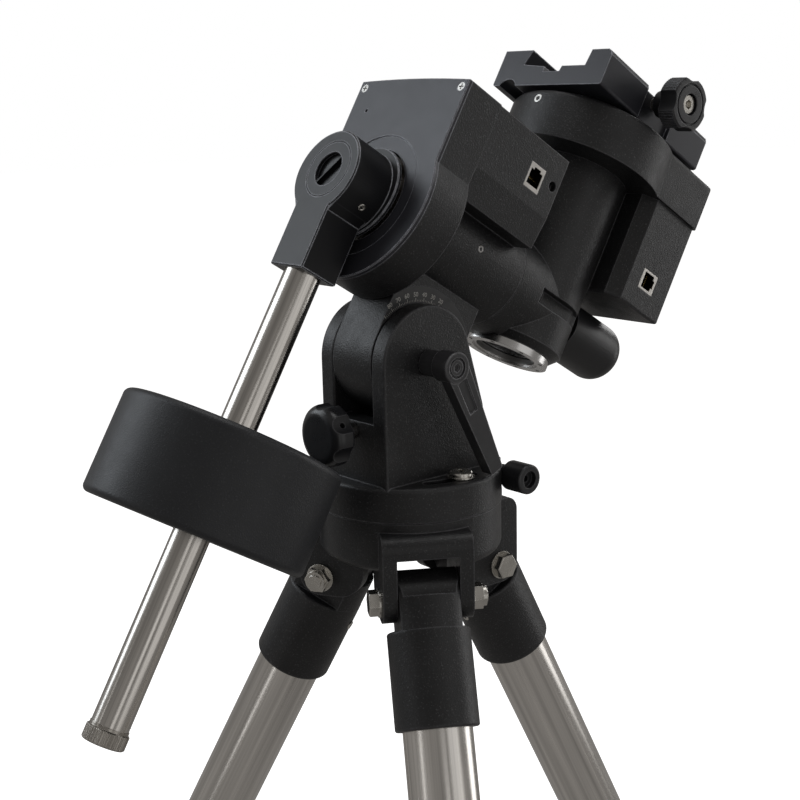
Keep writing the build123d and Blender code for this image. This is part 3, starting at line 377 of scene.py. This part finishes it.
TH0, STEP = 93.0, 10.2
for k in range(-20, 21):
    th = TH0 + k * STEP / 5
    if not 48 < th < 134:
        continue
    mark(th, 0.0319, 0.0339 if k % 5 == 0 else 0.0329, 0.00032 if k % 5 == 0 else 0.00022)
add_piece("latitude_marks", mv, mf, PAINT, "ra_housing")
for k, figure in zip(range(-3, 4), ("80", "70", "60", "50", "40", "30", "20")):
    th = TH0 + k * STEP
    cu = bpy.data.curves.new("figure", "FONT")
    cu.body = figure
    cu.size = 0.0034
    cu.align_x = "CENTER"
    cu.extrude = 0.00005
    tmp = bpy.data.objects.new("figure", cu)
    scene.collection.objects.link(tmp)
    bpy.context.view_layer.update()
    me = bpy.data.meshes.new_from_object(tmp.evaluated_get(bpy.context.evaluated_depsgraph_get()))
    bpy.data.objects.remove(tmp)
    q = math.radians(th)
    tx, ty, tz = Vector((0, math.sin(q), math.cos(q))), Vector((0, -math.cos(q), math.sin(q))), Vector((1, 0, 0))
    org = on_side(th, 0.0347)
    me.transform(Matrix(((tx.x, ty.x, tz.x, XS + 0.00004), (tx.y, ty.y, tz.y, org.y), (tx.z, ty.z, tz.z, org.z), (0, 0, 0, 1))))
    o = bpy.data.objects.new("latitude_figure_%d" % (k + 4), me)
    o.data.materials.clear()
    o.data.materials.append(PAINT)
    scene.collection.objects.link(o)
    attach(o, "ra_housing")

# set screws
BR, DK = mats["zinc_steel"], mats["steel"]
# on the round boss of the holder, where the line of sight through that place meets its surface
sight = (ra(12.15, -11.4, 79.0) - loc).normalized()
rel = loc - RA_O
e0, t0, e1, t1 = rel.dot(E_AX), rel.dot(U_AX), sight.dot(E_AX), sight.dot(U_AX)
qa, qb, qc = e1 * e1 + t1 * t1, 2 * (e0 * e1 + t0 * t1), e0 * e0 + t0 * t0 - 0.0239 ** 2
hit = loc + sight * ((-qb - math.sqrt(qb * qb - 4 * qa * qc)) / (2 * qa))
boss_n = (E_AX * (hit - RA_O).dot(E_AX) + U_AX * (hit - RA_O).dot(U_AX)).normalized()
socket_screw("holder_set_screw", hit + boss_n * 0.0003, boss_n, 0.0021, 0.0014, 0.00105, "ra_axis", BR)
q = math.atan2(1.02, 31.98)
tube_n = (E_AX * math.cos(q) + U_AX * math.sin(q)).normalized()
socket_screw("housing_set_screw", ra(31.98, 1.02, 8.16) + tube_n * 0.0001, tube_n, 0.0021, 0.0012, 0.0010, "ra_housing", DK)
socket_screw("dec_head_screw", ra(-0.7, 109.8, -17.7) + A_AX * 0.0001, A_AX, 0.0028, 0.0012, 0.0013, "ra_axis", special["plate_screws"])
for n, az in ((1, 58.1), (2, 178.1), (3, 298.1)):
    d, b_ = math.radians(az), math.radians(27.4)
    rad = Vector((math.sin(d), -math.cos(d), 0))
    down = rad * math.sin(b_) + Vector((0, 0, -math.cos(b_)))
    inward = Vector((-rad.y, rad.x, 0)).cross(down).normalized()
    piv = rad * 0.0467 + Vector((0, 0, 0.615))
    socket_screw("socket_screw_%d" % n, piv + down * 0.0307 + inward * 0.0236, inward, 0.0029, 0.0016, 0.0014, "leg_%d" % n, BR)

# spring contacts inside the two modular sockets
GOLD = surface("contact_gold", (0.62, 0.46, 0.17), 0.22, metallic=1.0, grain=3000, bump=0.05, depth=0.00002, mottle=0.1, bevel=0.00005)


def strip(pts, width, side):
    """A bent strip of sheet metal along pts, as wide as width across side."""
    vs, fs = [], []
    th = 0.00016
    for i, p in enumerate(pts):
        d_ = (pts[min(i + 1, len(pts) - 1)] - pts[max(i - 1, 0)]).normalized()
        nrm = d_.cross(side).normalized()
        for a_, b_ in ((-1, -1), (1, -1), (1, 1), (-1, 1)):
            vs.append(p + side * (a_ * width / 2) + nrm * (b_ * th / 2))
    for i in range(len(pts) - 1):
        for k in range(4):
            l = (k + 1) % 4
            fs.append((4 * i + k, 4 * i + l, 4 * i + 4 + l, 4 * i + 4 + k))
    fs.append((0, 1, 2, 3))
    m_ = 4 * (len(pts) - 1)
    fs.append((m_, m_ + 3, m_ + 2, m_ + 1))
    return vs, fs


def contacts(name, body, place, count, pitch):
    vs, fs = [], []
    for i in range(count):
        off = (i - (count - 1) / 2) * pitch
        pts, side = place(off)
        v_, f_ = strip(pts, pitch * 0.00045, side)
        fs += [tuple(len(vs) + k for k in f) for f in f_]
        vs += v_
    add_piece(name, vs, fs, GOLD, body)


contacts("hand_control_contacts", "ra_housing", lambda o_: ([ra(37.2, 50.6, 2.0 + o_), ra(39.5, 50.0, 2.0 + o_), ra(41.6, 48.2, 2.0 + o_), ra(42.4, 46.9, 2.0 + o_)], A_AX), 8, 1.02)
contacts("dec_contacts", "ra_axis", lambda o_: ([ra(37.2, 41.0 + o_, -122.2 + 4.0), ra(39.5, 41.0 + o_, -117.9), ra(41.6, 41.0 + o_, -116.2), ra(42.4, 41.0 + o_, -115.2)], U_AX), 6, 1.2)

# ------------------------------------------------------------------ studio
AMBIENT = 0.235
def flat_mat(name, color, rough=0.9):
    m, nt, b = new_mat(name)
    tc = nt.nodes.new("ShaderNodeTexCoord").outputs["Object"]
    nt.links.new(mix_col(nt, tex_noise(nt, tc, 3.0), tuple(c * 0.985 for c in color), color), b.inputs["Base Color"])
    b.inputs["Roughness"].default_value = rough
    return m


def sheet(name, size, place, mat):
    me = bpy.data.meshes.new(name)
    h = size / 2
    me.from_pydata([(-h, -h, 0), (h, -h, 0), (h, h, 0), (-h, h, 0)], [], [(0, 1, 2, 3)])
    o = bpy.data.objects.new(name, me)
    o.data.materials.append(mat)
    scene.collection.objects.link(o)
    o.matrix_world = place
    return o


floor_mat = flat_mat("floor_white", (0.90, 0.90, 0.90))
fb = [n for n in floor_mat.node_tree.nodes if n.type == "BSDF_PRINCIPLED"][0]
fb.inputs["Emission Color"].default_value = (1, 1, 1, 1)
fb.inputs["Emission Strength"].default_value = 0.87
fb.inputs["Specular IOR Level"].default_value = 0.1
floor = sheet("floor", 30, Matrix.Translation((0, 0, -0.0002)), floor_mat)
# the floor and the sky are white to the eye, and the object is lit by the soft boxes
floor.visible_diffuse = False
floor.visible_glossy = False

world = bpy.data.worlds.new("studio")
world.use_nodes = True
wt = world.node_tree
bg = wt.nodes["Background"]
lp = wt.nodes.new("ShaderNodeLightPath")
wm = wt.nodes.new("ShaderNodeMix")
wm.data_type = "FLOAT"
wt.links.new(lp.outputs["Is Camera Ray"], wm.inputs["Factor"])
wm.inputs[2].default_value = AMBIENT
wm.inputs[3].default_value = 1.0
wc = wt.nodes.new("ShaderNodeMix")
wc.data_type = "RGBA"
wt.links.new(lp.outputs["Is Camera Ray"], wc.inputs["Factor"])
wc.inputs[6].default_value = (1.0, 0.965, 0.93, 1)
wc.inputs[7].default_value = (1, 1, 1, 1)
wt.links.new(wc.outputs[2], bg.inputs[0])
wt.links.new(wm.outputs[0], bg.inputs[1])
scene.world = world


def area(name, pos, aim, size, size_y, level, color=(1, 1, 1)):
    """A soft box of the given brightness."""
    d = bpy.data.lights.new(name, "AREA")
    d.shape = "RECTANGLE"
    d.size, d.size_y = size, size_y
    d.energy = level * math.pi * size * size_y
    d.color = color
    o = bpy.data.objects.new(name, d)
    scene.collection.objects.link(o)
    o.location = pos
    o.rotation_euler = (Vector(aim) - Vector(pos)).to_track_quat("-Z", "Y").to_euler()
    o.visible_camera = False
    return o


MID = Vector((0, 0, 0.72))


def around(deg_right, height, dist):
    """A place deg_right degrees to the right of the camera, seen from above."""
    q = math.radians(deg_right)
    h = Vector((math.sin(AZ), -math.cos(AZ), 0))
    return Vector((0, 0, height)) + (h * math.cos(q) + right * math.sin(q)) * dist


area("key", around(-104, 1.75, 1.9), MID, 1.1, 1.5, 3.0, (0.88, 0.94, 1.0))
area("side", around(50, 0.95, 2.2), MID, 1.4, 2.2, 0.50)
area("side_back", around(108, 0.85, 2.2), MID, 0.8, 1.8, 1.7)
area("front_strip", around(14, 0.7, 2.6), MID, 0.6, 2.2, 0.6)
area("edge_strip", around(-62, 0.6, 2.4), MID, 0.22, 2.0, 1.2)
area("top", (0.05, 0.15, 2.3), MID, 1.0, 1.0, 2.2)
area("rim", around(150, 1.5, 2.2), MID, 0.8, 1.2, 3.0)

scene.view_settings.view_transform = "Standard"
scene.view_settings.look = "None"
scene.view_settings.exposure = 0.0
scene.view_settings.gamma = 1.0
